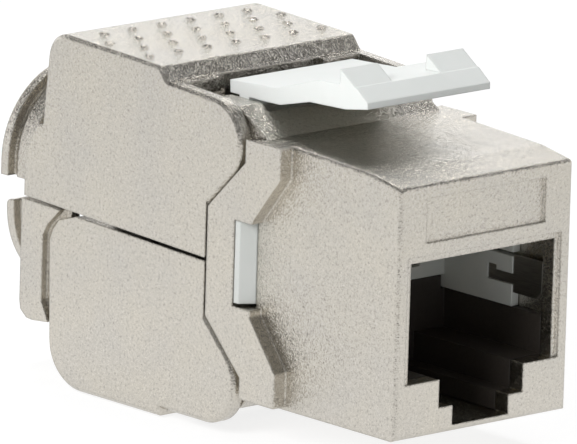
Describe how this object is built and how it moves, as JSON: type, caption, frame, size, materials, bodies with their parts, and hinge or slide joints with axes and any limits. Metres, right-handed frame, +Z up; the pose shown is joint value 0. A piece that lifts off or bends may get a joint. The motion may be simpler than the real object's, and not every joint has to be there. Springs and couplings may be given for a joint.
{
  "type": "keystone jack",
  "caption": "Shielded keystone network jack: die-cast front block with a plug socket, hinged rear covers ending in a cable collar, and a snap latch on top.",
  "frame": {"origin": "middle of the overall footprint, level with the lowest face of the lower cover", "axes": "+Y from the plug opening towards the cable collar, +Z up towards the latch, +X to the right seen from the front"},
  "size_m": [0.0164, 0.0388, 0.0243],
  "materials": {
    "cast_metal": "matte nickel-plated zinc casting with a fine grain",
    "white_plastic": "milky satin moulding",
    "dark_plastic": "dark satin moulding",
    "grey_plastic": "satin moulding",
    "board": "green lacquered laminate",
    "gold_wire": "gold-plated spring wire",
    "blade_metal": "tin-plated brass strip",
    "spring_steel": "bright strip"
  },
  "bodies": {
    "housing": {"front_housing": "cast_metal", "contact_carrier": "white_plastic", "socket_liner": "dark_plastic", "circuit_board": "board", "terminal_block": "dark_plastic", "wire_manager": "grey_plastic", "shield_spring_left": "spring_steel", "shield_spring_right": "spring_steel", "terminal_blade_1": "blade_metal", "terminal_blade_2": "blade_metal", "terminal_blade_3": "blade_metal", "terminal_blade_4": "blade_metal", "terminal_blade_5": "blade_metal", "terminal_blade_6": "blade_metal", "terminal_blade_7": "blade_metal", "terminal_blade_8": "blade_metal"},
    "top_cover": {"upper_cover": "cast_metal"},
    "bottom_cover": {"lower_cover": "cast_metal"},
    "latch": {"latch_clip": "white_plastic"},
    "contacts": {"contact_wire_1": "gold_wire", "contact_wire_2": "gold_wire", "contact_wire_3": "gold_wire", "contact_wire_4": "gold_wire", "contact_wire_5": "gold_wire", "contact_wire_6": "gold_wire", "contact_wire_7": "gold_wire", "contact_wire_8": "gold_wire"}
  },
  "joints": [
    {"name": "top_cover_hinge", "type": "hinge", "parent": "housing", "child": "top_cover", "pos_m": [0, -0.00302, 0.01855], "axis": [1, 0, 0], "range_deg": [0, 80]},
    {"name": "bottom_cover_hinge", "type": "hinge", "parent": "housing", "child": "bottom_cover", "pos_m": [0, -0.00302, 0.0032], "axis": [-1, 0, 0], "range_deg": [0, 80]},
    {"name": "latch_flex", "type": "hinge", "parent": "housing", "child": "latch", "pos_m": [0, -0.00252, 0.0201], "axis": [1, 0, 0], "range_deg": [0, 8], "stiffness_Nm_per_rad": 0.2},
    {"name": "contact_flex", "type": "hinge", "parent": "housing", "child": "contacts", "pos_m": [0, -0.01422, 0.0143], "axis": [1, 0, 0], "range_deg": [0, 8], "stiffness_Nm_per_rad": 0.05}
  ]
}
